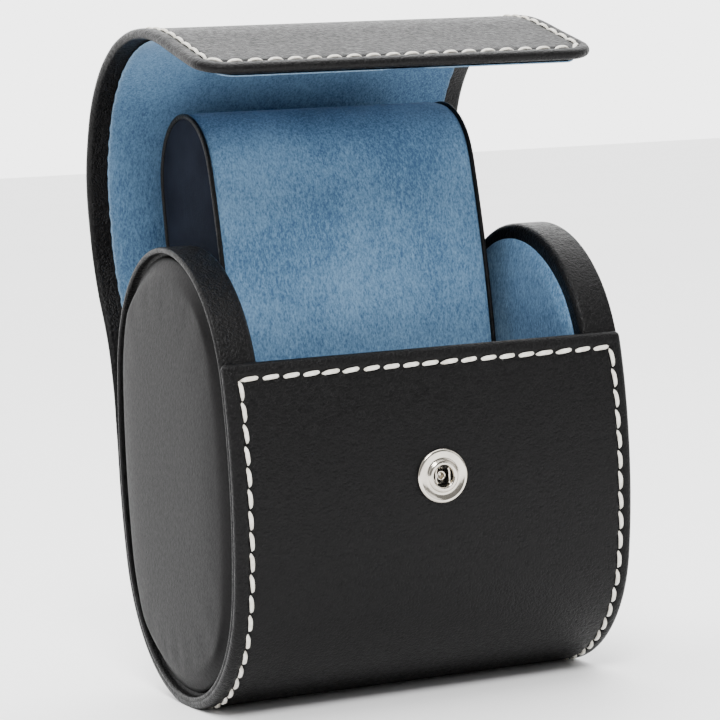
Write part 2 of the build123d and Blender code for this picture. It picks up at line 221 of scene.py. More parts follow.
class Path:
    """Section curve of the wrap's outer face, by arc length from the panel's top edge."""

    def __init__(self):
        angles = oval_angles(PANEL_TOP_ANGLE, 2 * math.pi + 0.012, 0.5)
        drum = np.array([oval_point(a) for a in angles])
        spine = spline_points([tuple(drum[-8]), tuple(drum[-1])] + LID_SPINE, 0.5)
        joined = np.vstack([drum[:-8], spine])
        s = self.lengths(joined)
        even = np.linspace(0, s[-1], int(s[-1] / 0.25) + 1)
        curve = np.stack([np.interp(even, s, joined[:, k]) for k in (0, 1)], 1)
        curve = self.smoothed(curve, 12)
        self.points = curve
        self.s = self.lengths(curve)
        self.length = self.s[-1]
        tangent = np.gradient(curve, self.s, axis=0)
        tangent /= np.linalg.norm(tangent, axis=1, keepdims=True)
        self.tangent = self.smoothed(tangent, 6)
        self.normal = np.stack([self.tangent[:, 1], -self.tangent[:, 0]], 1)

    @staticmethod
    def lengths(points):
        return np.concatenate([[0], np.cumsum(np.linalg.norm(np.diff(points, axis=0), axis=1))])

    @staticmethod
    def smoothed(values, reach):
        """Triangular moving average that leaves the two ends in place."""
        kernel = np.concatenate([np.arange(1, reach + 1), np.arange(reach - 1, 0, -1)]).astype(float)
        kernel /= kernel.sum()
        pad = reach - 1
        out = []
        for column in values.T:
            head = 2 * column[0] - column[pad:0:-1]
            tail = 2 * column[-1] - column[-2 : -pad - 2 : -1]
            out.append(np.convolve(np.concatenate([head, column, tail]), kernel, "valid"))
        return np.stack(out, 1)

    def at(self, s, depth=0.0):
        """Point (y, z) at arc length s and a depth below the outer face."""
        y = np.interp(s, self.s, self.points[:, 0]) - depth * np.interp(s, self.s, self.normal[:, 0])
        z = np.interp(s, self.s, self.points[:, 1]) - depth * np.interp(s, self.s, self.normal[:, 1])
        return y, z

    def nearest(self, y, z):
        """Arc length of the path's point closest to (y, z)."""
        gap = (self.points[:, 0] - y) ** 2 + (self.points[:, 1] - z) ** 2
        return self.s[int(np.argmin(gap))]


PATH = Path()
S_END = PATH.length
LOW_FOLD = PATH.nearest(30.0, 54.15)
MIDDLE_FOLD = PATH.nearest(33.4, 68.05)
TOP_FOLD = PATH.nearest(38.53, 79.72)
FLAP_FOLD = PATH.nearest(11.52, 123.7)
CUT_BODY = LOW_FOLD - 12.0
CUT_LOW = (LOW_FOLD + MIDDLE_FOLD) / 2
CUT_MIDDLE = (MIDDLE_FOLD + TOP_FOLD) / 2
CUT_FLAP = FLAP_FOLD - 6.0


def ramp_up(value, start, end):
    """Smooth step from 0 to 1."""
    t = np.clip((value - start) / (end - start), 0, 1)
    return t * t * (3 - 2 * t)


def wrap_thick(s):
    """Thickness of the wrap: the leather alone where it bends, leather and board elsewhere."""
    bend = ramp_up(s, LOW_FOLD - 10, LOW_FOLD - 3) - ramp_up(s, TOP_FOLD + 1, TOP_FOLD + 8)
    return WRAP_THICK - HINGE_THINNING * bend


def half_width(s, margin=0.0):
    """Half the wrap's length along X at arc length s, less a margin, with its rounded corners."""
    s = np.asarray(s, float)
    width = np.full(s.shape, HALF_LENGTH - margin)
    for start, corner in ((s - margin, CORNER_PANEL), (S_END - margin - s, CORNER_LID)):
        radius = max(corner - margin, 0.3)
        into = np.clip(radius - start, 0, radius)
        width = width - (radius - np.sqrt(np.maximum(radius**2 - into**2, 0)))
    return width


def edge_distance(x, s):
    """Distance from the wrap's cut edge, following its rounded corners."""
    side = HALF_LENGTH - np.abs(x)
    top, front = s, S_END - s
    distance = np.minimum(np.minimum(side, top), front)
    for end, radius in ((top, CORNER_PANEL), (front, CORNER_LID)):
        inside = (side < radius) & (end < radius)
        rounded = radius - np.sqrt((radius - side) ** 2 + (radius - end) ** 2)
        distance = np.where(inside, rounded, distance)
    return np.maximum(distance, 0)


EDGE_STEPS = np.array([
    0, 0.04, 0.14, 0.3, 0.5, 0.72, 0.95, 1.3, 1.7, 2.1, 2.45, 2.72, 2.95, 3.2, 3.5, 3.9, 4.6, 5.6,
])


def wrap_columns(s, inner_count=20):
    """X of every grid column at arc length s: dense near both edges."""
    width = float(half_width(s))
    left = -width + EDGE_STEPS * STITCH_INSET[-1] / 3.0
    right = width - EDGE_STEPS[::-1] * STITCH_INSET[1] / 3.0
    middle = np.linspace(left[-1], right[0], inner_count + 2)[1:-1]
    return np.concatenate([left, middle, right])


def wrap_rows():
    """Arc lengths of the grid rows, dense near both ends, with a row at every cut."""
    cuts = sorted([CUT_BODY, CUT_LOW, CUT_MIDDLE, CUT_FLAP])
    ends = [EDGE_STEPS[-1], *cuts, S_END - CORNER_LID - 1.0]
    rows = list(EDGE_STEPS)
    for a, b in zip(ends, ends[1:]):
        count = max(1, round((b - a) / (STITCH_PITCH / 7)))
        rows += list(np.linspace(a, b, count + 1)[1:])
    tail = S_END - EDGE_STEPS[::-1]
    rows += [s for s in tail if s > rows[-1] + 0.2]
    return np.array(rows)


def stitch_path():
    """Closed-up needle path as (x, s) points: two separate rows, one per sheet end."""
    body = []
    left, right = -HALF_LENGTH + STITCH_INSET[-1], HALF_LENGTH - STITCH_INSET[1]
    top, front = 3.0, S_END - 3.0
    radius = CORNER_LID - 3.0
    body.append((left, top))
    body.append((left, front - radius))
    for k in range(1, 7):
        a = math.pi / 2 * k / 6
        body.append((left + radius * (1 - math.cos(a)), front - radius * (1 - math.sin(a))))
    for k in range(6):
        a = math.pi / 2 * k / 6
        body.append((right - radius * (1 - math.sin(a)), front - radius * (1 - math.cos(a))))
    body.append((right, front - radius))
    body.append((right, top))
    body.append((left, top))
    return np.array(body)


def stitch_list():
    """Every stitch as (x, s, direction angle, length) in the flat sheet."""
    path = stitch_path()
    stitches = []
    for a, b in runs(path):
        length = np.linalg.norm(np.diff(path[a : b + 1], axis=0), axis=1)
        along = np.concatenate([[0], np.cumsum(length)])
        count = round(along[-1] / STITCH_PITCH)
        for i in range(count):
            t = (i + 0.5) / count * along[-1]
            x = np.interp(t, along, path[a : b + 1, 0])
            s = np.interp(t, along, path[a : b + 1, 1])
            ahead = min(t + 0.5, along[-1])
            behind = max(t - 0.5, 0)
            dx = np.interp(ahead, along, path[a : b + 1, 0]) - np.interp(behind, along, path[a : b + 1, 0])
            ds = np.interp(ahead, along, path[a : b + 1, 1]) - np.interp(behind, along, path[a : b + 1, 1])
            stitches.append((x, s, math.atan2(ds, dx), along[-1] / count))
    return stitches


def runs(path):
    """Index ranges of the needle path: the long way round, and the row along the panel's top."""
    return [(0, len(path) - 2), (len(path) - 2, len(path) - 1)]


STITCHES = stitch_list()


def needle_holes():
    """Middle points between neighbouring stitches, where the thread goes into the leather."""
    holes = []
    for x, s, angle, pitch in STITCHES:
        for end in (-0.5, 0.5):
            holes.append((x + end * pitch * math.cos(angle), s + end * pitch * math.sin(angle)))
    return np.array(holes)


def relief(x, s):
    """Depth added to the wrap's outer face by the puffed margin and the stitch line."""
    edge = edge_distance(x, s)
    inset = np.where(x < 0, STITCH_INSET[-1], STITCH_INSET[1])
    inset = np.where(np.minimum(s, S_END - s) < HALF_LENGTH - np.abs(x), 3.0, inset)
    line = np.exp(-(((edge - inset) / 0.55) ** 2))
    puff = np.exp(-(((edge - inset * 0.5) / 0.8) ** 2))
    return 0.22 * line - 0.12 * puff


def hole_relief(x, s, holes):
    """Extra depth around each needle hole; x and s are one grid row and its arc length."""
    near = holes[np.abs(holes[:, 1] - s) < 1.2]
    extra = np.zeros_like(x)
    for hx, hs in near:
        extra += 0.28 * np.exp(-((x - hx) ** 2 + (s - hs) ** 2) / 0.16)
    return np.minimum(extra, 0.4)


def lip(edge, radius):
    """Depth of a half-round edge at a distance from its rim."""
    inside = np.clip(radius - edge, 0, radius)
    return radius - np.sqrt(radius**2 - inside**2)


def build_wrap(leather):
    """The whole leather sheet as outer and inner grids, cut into five pieces."""
    rows = wrap_rows()
    holes = needle_holes()
    half = WRAP_THICK / 2
    outer, inner = [], []
    for s in rows:
        x = wrap_columns(s)
        edge = edge_distance(x, s)
        rounding = lip(edge, half)
        top = rounding * wrap_thick(s) / WRAP_THICK
        y, z = PATH.at(s, top + relief(x, s) * (edge > 0) + hole_relief(x, s, holes))
        outer.append(np.stack([x, y, z], 1))
        y, z = PATH.at(s, wrap_thick(s) - rounding * wrap_thick(s) / WRAP_THICK)
        inner.append(np.stack([x, y, z], 1))
    count, cols = len(rows), len(outer[0])
    verts = np.vstack(outer + inner)
    verts[:, 2] = np.maximum(verts[:, 2], 0.0)
    base = count * cols
    boundary = np.zeros((count, cols), bool)
    boundary[:, 0] = boundary[:, -1] = boundary[0] = boundary[-1] = True
    index = np.arange(2 * base)
    flat = np.nonzero(boundary.ravel())[0]
    index[base + flat] = flat
    outer_faces = grid_faces(count, cols, flip=True)
    inner_faces = [tuple(index[list(f)]) for f in grid_faces(count, cols, offset=base)]
    normals = vertex_normals(verts, outer_faces + inner_faces)
    pieces = {}
    bounds = [rows[0], CUT_BODY, CUT_LOW, CUT_MIDDLE, CUT_FLAP, rows[-1]]
    names = ["wrap_case", "wrap_fold_low", "wrap_fold_middle", "wrap_lid", "wrap_flap"]
    for name, a, b in zip(names, bounds, bounds[1:]):
        first = int(np.argmin(np.abs(rows - a)))
        last = int(np.argmin(np.abs(rows - b)))
        keep = range(first * (cols - 1), last * (cols - 1))
        faces = [outer_faces[k] for k in keep] + [inner_faces[k] for k in keep]
        faces = [f for f in faces if not under_socket(verts[list(f)])]
        pieces[name] = cut_piece(name, verts, normals, faces, leather)
    return pieces


def under_socket(corners):
    """Whether a face lies wholly below the socket's ring, where the wrap has its hole."""
    reach = np.hypot(corners[:, 0] - SNAP[0], corners[:, 2] - SNAP[1])
    return bool(np.all(reach < SOCKET_COVER) and np.all(corners[:, 1] < -HALF_DEPTH / 2))


def cut_piece(name, verts, normals, faces, material):
    """Mesh of some of the faces, with normals taken from the whole sheet."""
    used = sorted({v for f in faces for v in f})
    new = {v: i for i, v in enumerate(used)}
    faces = [tuple(new[v] for v in f) for f in faces]
    return mesh_object(name, verts[used], faces, material, normals=normals[used])


def build_lining(velour):
    """Velour sheet inside the wrap: narrow between the cheeks, wide behind and in the lid.

    The face glued to the wrap is left off; it shapes the normals of the rolled edges.
    """
    start, end = LINING_START, S_END - FRONT_LIP
    cuts = [start, CUT_BODY, CUT_LOW, CUT_MIDDLE, CUT_FLAP, end]
    rows = [start, start + 0.12, start + 0.3]
    for a, b in zip([start + 0.3, *cuts[1:-1]], cuts[1:-1] + [end - 5.0]):
        rows += list(np.linspace(a, b, max(1, round((b - a) / 0.9)) + 1)[1:])
    rows += list(end - np.array([4.0, 3.2, 2.5, 1.9, 1.4, 1.0, 0.65, 0.35, 0.15, 0.05, 0.0]))
    rows = np.array(rows)
    steps = np.array([0, 0.04, 0.12, 0.25, 0.45, 0.8, 1.4, 2.4])
    top, under, edges = [], [], []
    for s in rows:
        width = lining_width(s, end)
        wobble = 0.06 * math.sin(2.1 * s) + 0.04 * math.sin(5.3 * s + 1) + RNG.uniform(-0.03, 0.03)
        left = -width + wobble + steps
        right = width + 0.8 * wobble - steps[::-1]
        x = np.concatenate([left, np.linspace(left[-1], right[0], 32)[1:-1], right])
        side = np.minimum(x - x[0], x[-1] - x)
        edge = np.minimum(np.minimum(side, s - start), end - s)
        rounding = lip(np.maximum(edge, 0), LINING_THICK / 2)
        wavy = 0.05 * np.sin(0.9 * x + 0.35 * s) * np.clip(edge / 2, 0, 1)
        y, z = PATH.at(s, wrap_thick(s) + LINING_THICK - rounding + wavy - stud_dimple(x, s))
        top.append(np.stack([x, y, z], 1))
        y, z = PATH.at(s, wrap_thick(s) + rounding * 0.98)
        under.append(np.stack([x, y, z], 1))
        edges.append(np.exp(-edge / 0.35))
    count, cols = len(rows), len(top[0])
    verts = np.vstack(top + under)
    weight = np.concatenate(edges + edges)
    base = count * cols
    top_faces = grid_faces(count, cols)
    under_faces = grid_faces(count, cols, offset=base, flip=True)
    rim = []
    for r in range(count - 1):
        for c, flip in ((0, False), (cols - 1, True)):
            quad = (r * cols + c, (r + 1) * cols + c, base + (r + 1) * cols + c, base + r * cols + c)
            rim.append((r, quad[::-1] if flip else quad))
    normals = vertex_normals(verts, top_faces + under_faces + [q for _, q in rim])
    names = ["lining_case", "lining_fold_low", "lining_fold_middle", "lining_lid", "lining_flap"]
    pieces = {}
    for name, a, b in zip(names, cuts, cuts[1:]):
        first = int(np.argmin(np.abs(rows - a)))
        last = int(np.argmin(np.abs(rows - b)))
        keep = range(first * (cols - 1), last * (cols - 1))
        faces = [top_faces[k] for k in keep] + [q for r, q in rim if first <= r < last]
        if last == count - 1:
            row = (count - 1) * cols
            faces += [(row + c, row + c + 1, base + row + c + 1, base + row + c)
                      for c in range(cols - 1)]
        used = sorted({v for f in faces for v in f})
        pieces[name] = cut_piece(name, verts, normals, faces, velour)
        set_attribute(pieces[name], "edge", weight[used])
    return pieces


def stud_dimple(x, s):
    """How far the socket presses the flap's lining in around the stud."""
    reach = np.hypot(x - SNAP[0], s - (S_END - STUD_FROM_FRONT))
    return 0.45 * (1 - ramp_up(reach, 5.3, 7.0))


def lining_width(s, end):
    """Half the lining's width: it narrows to pass between the cheeks."""
    wide = HALF_LENGTH - HEM
    narrow = INNER_HALF - 0.5
    t = np.clip((s - (LOW_FOLD - 3.0)) / 5.0, 0, 1)
    width = narrow + (wide - narrow) * t * t * (3 - 2 * t)
    radius = CORNER_LID - 3.0
    into = np.clip(radius - (end - s), 0, radius)
    return float(width - (radius - math.sqrt(max(radius**2 - into**2, 0))))


def blend_at(obj):
    """Bakes a piece's transform into its mesh."""
    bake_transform(obj)


def fold_pieces(pieces, prefix):
    """Attaches a sheet's case piece to the case body and bakes the transforms of its other four pieces."""
    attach(pieces[prefix + "case"], "case")
    blend_at(pieces[prefix + "fold_low"])
    blend_at(pieces[prefix + "fold_middle"])
    blend_at(pieces[prefix + "lid"])
    blend_at(pieces[prefix + "flap"])


# Thread


def stitch_points(x, s, angle, length, slant=math.radians(9)):
    """Rings of one stitch: a flattened strand that arches out of the leather and dives back in."""
    turn = angle - slant
    along = (math.cos(turn), math.sin(turn))
    across = (-along[1], along[0])
    rings, sides = 11, 10
    verts = []
    for i in range(rings):
        t = -1 + 2 * i / (rings - 1)
        lift = 0.27 - 0.8 * abs(t) ** 3
        swell = 1 - 0.6 * abs(t) ** 3
        sway = 0.06 * math.sin(math.pi * t)
        for k in range(sides):
            a = 2 * math.pi * k / sides
            side = 0.4 * swell * math.cos(a) + sway
            up = 0.27 * swell * math.sin(a)
            px = x + along[0] * t * length / 2 + across[0] * side
            ps = s + along[1] * t * length / 2 + across[1] * side
            y, z = PATH.at(ps, -(lift + up) + 0.18)
            verts.append((px, float(y), max(float(z), 0.05)))
    faces = grid_faces(rings, sides, wrap=True)
    faces.append(tuple(range(sides))[::-1])
    faces.append(tuple((rings - 1) * sides + k for k in range(sides)))
    return verts, faces


def build_stitches(thread):
    """All stitches, grouped by the part of the sheet that they sit on."""
    groups = {"stitches_case": [], "stitches_fold_low": [], "stitches_fold_middle": [],
              "stitches_lid": [], "stitches_flap": []}
    limits = [CUT_BODY, CUT_LOW, CUT_MIDDLE, CUT_FLAP, S_END]
    for x, s, angle, pitch in STITCHES:
        name = list(groups)[next(i for i, limit in enumerate(limits) if s <= limit)]
        jitter = RNG.uniform(-0.03, 0.03)
        groups[name].append((x + RNG.uniform(-0.06, 0.06), s, angle + jitter, pitch - 0.1))
    pieces = {}
    for name, stitches in groups.items():
        verts, faces = [], []
        for x, s, angle, length in stitches:
            v, f = stitch_points(x, s, angle, length)
            faces += [tuple(len(verts) + i for i in face) for face in f]
            verts += v
        pieces[name] = mesh_object(name, verts, faces, thread)
    return pieces


# Soft pads


def oval_reach(direction, grow):
    """Distance from the drum's centre to the grown oval along a direction angle."""
    low, high = direction - 0.6, direction + 0.6
    for _ in range(40):
        middle = (low + high) / 2
        y, z = oval_point(middle, grow)
        if math.remainder(math.atan2(z - AXIS_Z, y) - direction, 2 * math.pi) > 0:
            high = middle
        else:
            low = middle
    y, z = oval_point(low, grow)
    return math.hypot(y, z - AXIS_Z)


def pad_grid(grow, across, up):
    """Even quad grid over the grown oval: (y, z, rim closeness) per point."""
    points = []
    for j in range(up + 1):
        v = -1 + 2 * j / up
        for i in range(across + 1):
            u = -1 + 2 * i / across
            a = u * math.sqrt(1 - v * v / 2)
            b = v * math.sqrt(1 - u * u / 2)
            r = math.hypot(a, b)
            if r < 1e-9:
                points.append((0.0, AXIS_Z, 0.0))
                continue
            wide, tall = HALF_DEPTH + grow, HALF_HEIGHT + grow
            direction = math.atan2(b * tall, a * wide)
            ellipse = math.hypot(a * wide, b * tall)
            rim = oval_reach(direction, grow)
            full = ellipse / r
            reach = ellipse * (1 + (rim / full - 1) * r * r)
            points.append((reach * math.cos(direction), AXIS_Z + reach * math.sin(direction), r))
    return points


def swell(obj, cap, pressure=4.0, frames=20):
    """Inflates a closed mesh as cloth, with its pinned points held, and caps how far it moves."""
    rest = np.array([v.co for v in obj.data.vertices])
    cloth = obj.modifiers.new("cloth", "CLOTH")
    settings = cloth.settings
    settings.quality = 6
    settings.mass = 0.25
    settings.tension_stiffness = 18
    settings.compression_stiffness = 18
    settings.shear_stiffness = 6
    settings.bending_stiffness = 0.8
    settings.use_pressure = True
    settings.uniform_pressure_force = pressure
    settings.vertex_group_mass = "pin"
    settings.effector_weights.gravity = 0
    cloth.collision_settings.use_collision = False
    scene = bpy.context.scene
    for f in range(1, frames + 1):
        scene.frame_set(f)
    bpy.context.view_layer.update()
    graph = bpy.context.evaluated_depsgraph_get()
    moved = obj.evaluated_get(graph).to_mesh()
    new = np.array([v.co for v in moved.vertices])
    obj.evaluated_get(graph).to_mesh_clear()
    obj.modifiers.clear()
    scene.frame_set(1)
    step = new - rest
    length = np.linalg.norm(step, axis=1, keepdims=True)
    limit = cap * MM
    step *= np.minimum(1, limit * np.tanh(length / limit) / np.maximum(length, 1e-12))
    obj.data.vertices.foreach_set("co", (rest + step).astype(np.float32).ravel())
    obj.data.update()


def pin(obj, indices):
    group = obj.vertex_groups.new(name="pin")
    group.add([int(i) for i in indices], 1.0, "REPLACE")


def oval_pad(name, side, grow, back_x, rim_x, face_x, material, cap):
    """Padded oval disc from back_x to a face that starts at face_x and swells."""
    across, up = 26, 36
    grid = pad_grid(grow, across, up)
    n = len(grid)
    cols = across + 1
    on_rim = [i for i in range(n) if i % cols in (0, across) or i < cols or i >= n - cols]
    order = (list(range(cols)) + [r * cols + across for r in range(1, up + 1)]
             + [up * cols + c for c in range(across - 1, -1, -1)]
             + [r * cols for r in range(up - 1, 0, -1)])
    shoulder = 0.955
    direction = 1 if face_x > back_x else -1
    verts = []
    for y, z, r in grid:
        pull = shoulder**(r**6)
        x = side * (face_x if r < 0.999 else rim_x)
        verts.append((x, y * pull, AXIS_Z + (z - AXIS_Z) * pull))
    for y, z, _ in grid:
        verts.append((side * back_x, y, z))
    middle = len(verts)
    for i in order:
        y, z, _ = grid[i]
        verts.append((side * (0.55 * rim_x + 0.45 * back_x), y, z))
    flip = (side * direction) < 0
    faces = grid_faces(up + 1, cols, flip=flip)
    faces += grid_faces(up + 1, cols, offset=n, flip=not flip)
    count = len(order)
    for k in range(count):
        m = (k + 1) % count
        upper = (order[k], middle + k, middle + m, order[m])
        lower = (middle + k, n + order[k], n + order[m], middle + m)
        for quad in (upper, lower):
            faces.append(quad[::-1] if flip else quad)
    obj = mesh_object(name, verts, faces, material)
    pin(obj, list(range(n, len(verts))) + on_rim)
    swell(obj, cap)
    subdivide(obj)
    return obj


# Watch cushion


CUSHION_LEAN = 9.0
CUSHION_CENTRE = np.array([14.4, 74.65])
CUSHION_SPINE = 19.4


def cushion_outline(count):
    """Section of the raised cushion, closed, counter-clockwise from the bottom."""
    lean = math.radians(CUSHION_LEAN)
    half_depth, half_height, end_radius = 14.0, 32.8, 13.2
    offset = half_height - end_radius
    spare = half_depth - end_radius
    side = (offset**2 - spare**2) / (2 * spare)
    turn = math.atan2(offset, side)
    points = []
    for a in np.linspace(-math.pi / 2, 1.5 * math.pi, 1600, endpoint=False):
        b = (a + math.pi) % (2 * math.pi) - math.pi
        if abs(b) <= turn:
            c, r = (-side, 0.0), half_depth + side
        elif abs(b) >= math.pi - turn:
            c, r = (side, 0.0), half_depth + side
        else:
            c, r = (0.0, math.copysign(offset, b)), end_radius
        points.append((c[0] + r * math.cos(b), c[1] + r * math.sin(b)))
    points = np.array(points)
    rotation = np.array([[math.cos(lean), math.sin(lean)], [-math.sin(lean), math.cos(lean)]])
    points = points @ rotation.T + CUSHION_CENTRE
    closed = np.vstack([points, points[:1]])
    s = Path.lengths(closed)
    even = np.linspace(0, s[-1], count, endpoint=False)
    return np.stack([np.interp(even, s, closed[:, k]) for k in (0, 1)], 1)


def scaled_loop(loop, inset):
    """Loop moved inwards by a distance."""
    nxt, prv = np.roll(loop, -1, axis=0), np.roll(loop, 1, axis=0)
    t = nxt - prv
    t /= np.linalg.norm(t, axis=1, keepdims=True)
    return loop + inset * np.stack([-t[:, 1], t[:, 0]], 1)


CUSHION_HALF = 26.2
CUSHION_LOOP = 72


def build_cushion(velour, suede, leather):
    """Blue wrapped cushion, its dark end panels and the welts between them."""
    loop = cushion_outline(CUSHION_LOOP)
    stations = np.concatenate([[-CUSHION_HALF, -CUSHION_HALF + 0.6],
                               np.linspace(-24.4, 24.4, 21), [CUSHION_HALF - 0.6, CUSHION_HALF]])
    verts, count = [], CUSHION_LOOP
    for x in stations:
        end = abs(x) / CUSHION_HALF
        inset = 0.55 if end > 0.995 else 0.25 if end > 0.97 else 0.0
        for y, z in scaled_loop(loop, inset):
            verts.append((x, y, z))
    faces = grid_faces(len(stations), count, wrap=True)
    for first, flip in ((0, True), ((len(stations) - 1) * count, False)):
        faces += cap_faces(first, count, flip)
    wrap = mesh_object("cushion", verts, faces, velour)
    held = list(range(2 * count)) + list(range((len(stations) - 2) * count, len(verts)))
    pin(wrap, held)
    swell(wrap, 1.1, pressure=3.0)
    remove_caps(wrap, count)
    subdivide(wrap)
    pieces = [wrap]
    for side, label in ((-1, "left"), (1, "right")):
        pieces.append(end_panel(loop, side, label, suede))
        pieces.append(welt(loop, side, label, leather))
    return pieces


def cap_faces(first, count, flip):
    """Quads across a loop, joining each point to its mirror."""
    faces = []
    half = count // 2
    for k in range(half - 2):
        quad = (first + k + 1, first + (k + 2) % count,
                first + (count - k - 1) % count, first + (count - k) % count)
        faces.append(quad[::-1] if flip else quad)
    tip = (first, first + 1, first + count - 1)
    faces.append(tip[::-1] if flip else tip)
    middle = (first + half - 1, first + half, first + half + 1)
    faces.append(middle[::-1] if flip else middle)
    return faces


def remove_caps(obj, count):
    """Keeps only the wrap's own faces: those that join two neighbouring loops."""
    mesh = obj.data
    keep = []
    for face in mesh.polygons:
        loops = {v // count for v in face.vertices}
        if len(loops) == 2:
            keep.append(tuple(face.vertices))
    co = np.array([v.co for v in mesh.vertices])
    fresh = bpy.data.meshes.new(mesh.name)
    fresh.from_pydata([tuple(c) for c in co], [], keep)
    fresh.polygons.foreach_set("use_smooth", [True] * len(keep))
    for m in mesh.materials:
        fresh.materials.append(m)
    obj.data = fresh


def spine_loop(loop):
    """Each point of the section pulled onto the long middle line of the cushion's end."""
    lean = math.radians(CUSHION_LEAN)
    axis = np.array([math.sin(lean), math.cos(lean)])
    offset = (loop - CUSHION_CENTRE) @ axis
    reach = np.clip(offset, -CUSHION_SPINE, CUSHION_SPINE)
    return CUSHION_CENTRE + reach[:, None] * axis


def end_panel(loop, side, label, suede):
    """Slightly crowned end panel of the cushion, as rings towards the middle of the section."""
    verts = []
    spine = spine_loop(loop)
    levels = [0.0, 0.04, 0.1, 0.2, 0.35, 0.5, 0.65, 0.8, 0.92, 1.0]
    rim = scaled_loop(loop, 0.5)
    for level in levels:
        crown = 0.55 * (1 - math.exp(-level * 7.0))
        for y, z in rim + (spine - rim) * level:
            verts.append((side * (CUSHION_HALF + 0.25 + crown), y, z))
    faces = grid_faces(len(levels), len(loop), wrap=True, flip=side < 0)
    return mesh_object(f"{label}_cushion_end", verts, faces, suede)


def welt(loop, side, label, leather):
    """Narrow rolled edge between the cushion's wrap and its end panel."""
    verts, sides, r = [], 12, 0.55
    ring = [2 * math.pi * k / sides for k in range(sides)]
    base = scaled_loop(loop, 0.45)
    inward = scaled_loop(loop, 1.45) - base
    for (y, z), (iy, iz) in zip(base, inward):
        for a in ring:
            x = side * (CUSHION_HALF + 0.35 + r * math.cos(a) * 0.85)
            verts.append((x, y - iy * r * math.sin(a), z - iz * r * math.sin(a)))
    n = len(loop)
    faces = []
    for k in range(n):
        m = (k + 1) % n
        for j in range(sides):
            i = (j + 1) % sides
            quad = (k * sides + j, m * sides + j, m * sides + i, k * sides + i)
            faces.append(quad if side > 0 else quad[::-1])
    obj = mesh_object(f"{label}_cushion_welt", verts, faces, leather)
    subdivide(obj)
    return obj


# Cheeks


def arc_profile(centre, radius, start, end, count):
    """(grow, x) points on a quarter-round; angles in degrees, 0 along grow, 90 along x."""
    return [
        (centre[0] + radius * math.cos(math.radians(a)),
         centre[1] + radius * math.sin(math.radians(a)))
        for a in np.linspace(start, end, count)
    ]


def build_cheek(side, label, leather):
    """Leather-covered oval cheek: inner face, rounded shoulder, band, rim and pad groove."""
    top, soft, rim = -1.2, 1.3, 0.55
    profile = [(-9.0, INNER_HALF), (-6.0, INNER_HALF), (-3.6, INNER_HALF - 0.05)]
    profile += arc_profile((top - soft, INNER_HALF + soft), soft, -90, 0, 9)
    profile += [(top + 0.02, 35.0), (top, 37.4)]
    profile += arc_profile((top - rim, HALF_LENGTH - rim), rim, 0, 90, 6)
    profile += arc_profile((-2.25 + 0.4, HALF_LENGTH - 0.4), 0.4, 90, 180, 5)
    profile += [(-2.27, 38.0), (-2.3, 37.2), (-4.0, 37.1)]
    return oval_lathe(f"{label}_cheek", profile, side, leather)


# Press stud


def lathe(name, profile, centre, axis, material, count=72):
    """Surface of revolution; profile is (radius, height) along the axis from the centre."""
    axis = np.array(axis, float) / np.linalg.norm(axis)
    u = np.array([1.0, 0, 0])
    v = np.cross(axis, u)
    verts = []
    for radius, height in profile:
        for k in range(count):
            a = 2 * math.pi * k / count
            verts.append(np.array(centre) + axis * height + radius * (math.cos(a) * u + math.sin(a) * v))
    return mesh_object(name, verts, grid_faces(len(profile), count, wrap=True), material)


def rounded(points, radius_steps=6, amount=0.35):
    """Profile with its corners cut round."""
    pts = np.array(points, float)
    out = [pts[0]]
    for a, b, c in zip(pts, pts[1:], pts[2:]):
        p = b + (a - b) * min(amount, 0.5)
        q = b + (c - b) * min(amount, 0.5)
        for t in np.linspace(0, 1, radius_steps):
            out.append((1 - t) ** 2 * p + 2 * t * (1 - t) * b + t**2 * q)
    out.append(pts[-1])
    return out


def build_socket(nickel, dark):
    centre = (SNAP[0], -HALF_DEPTH, SNAP[1])
    axis = (0, -1, 0)
    ring = rounded([
        (4.55, 0.0), (4.8, 0.08), (4.85, 0.3), (4.65, 0.54), (4.3, 0.6), (4.0, 0.48), (3.3, 0.36),
        (2.95, 0.45), (2.8, 0.7), (2.55, 0.86), (2.2, 0.88), (2.0, 0.78), (1.88, 0.4), (1.85, -0.1),
    ])
    pieces = [lathe("socket_ring", ring, centre, axis, nickel)]
    post = rounded([
        (1.7, -1.45), (1.2, -1.42), (0.95, -1.3), (0.92, -0.5), (0.8, -0.32), (0.62, -0.36),
        (0.5, -0.55), (0.45, -1.3), (0.01, -1.35),
    ])
    pieces.append(lathe("socket_post", post, centre, axis, nickel, 40))
    flare = rounded([(0.55, -2.4), (0.9, -2.7), (2.2, -2.75), (3.4, -2.62), (3.5, -2.4)])
    pieces.append(lathe("socket_flare", flare, centre, axis, nickel, 48))
    # The cup inside the ring's hole takes the black leather material: painted shade for the dark inside of
    # the socket.
    cup = rounded([(1.87, -0.05), (1.85, -0.6), (1.8, -1.4), (1.7, -1.5)])
    pieces.append(lathe("socket_cup_painted_shade", cup, centre, axis, dark, 48))
    return pieces


def build_spring(nickel):
    """Bent wire of the socket: two legs and a bow, as one curve."""
    curve = bpy.data.curves.new("socket_spring", "CURVE")
    curve.dimensions = "3D"
    curve.bevel_depth = 0.2 * MM
    curve.bevel_resolution = 3
    y = -HALF_DEPTH - 0.2
    for side in (-1, 1):
        spline = curve.splines.new("NURBS")
        points = [(1.1, -1.35), (1.35, -0.8), (1.3, 0.0), (1.35, 0.8), (1.1, 1.35)]
        spline.points.add(len(points) - 1)
        for p, (dx, dz) in zip(spline.points, points):
            p.co = ((SNAP[0] + side * dx) * MM, y * MM, (SNAP[1] + dz) * MM, 1)
        spline.order_u = 3
        spline.use_endpoint_u = True
    curve.materials.append(nickel)
    obj = bpy.data.objects.new("socket_spring", curve)
    bpy.context.scene.collection.objects.link(obj)
    return obj


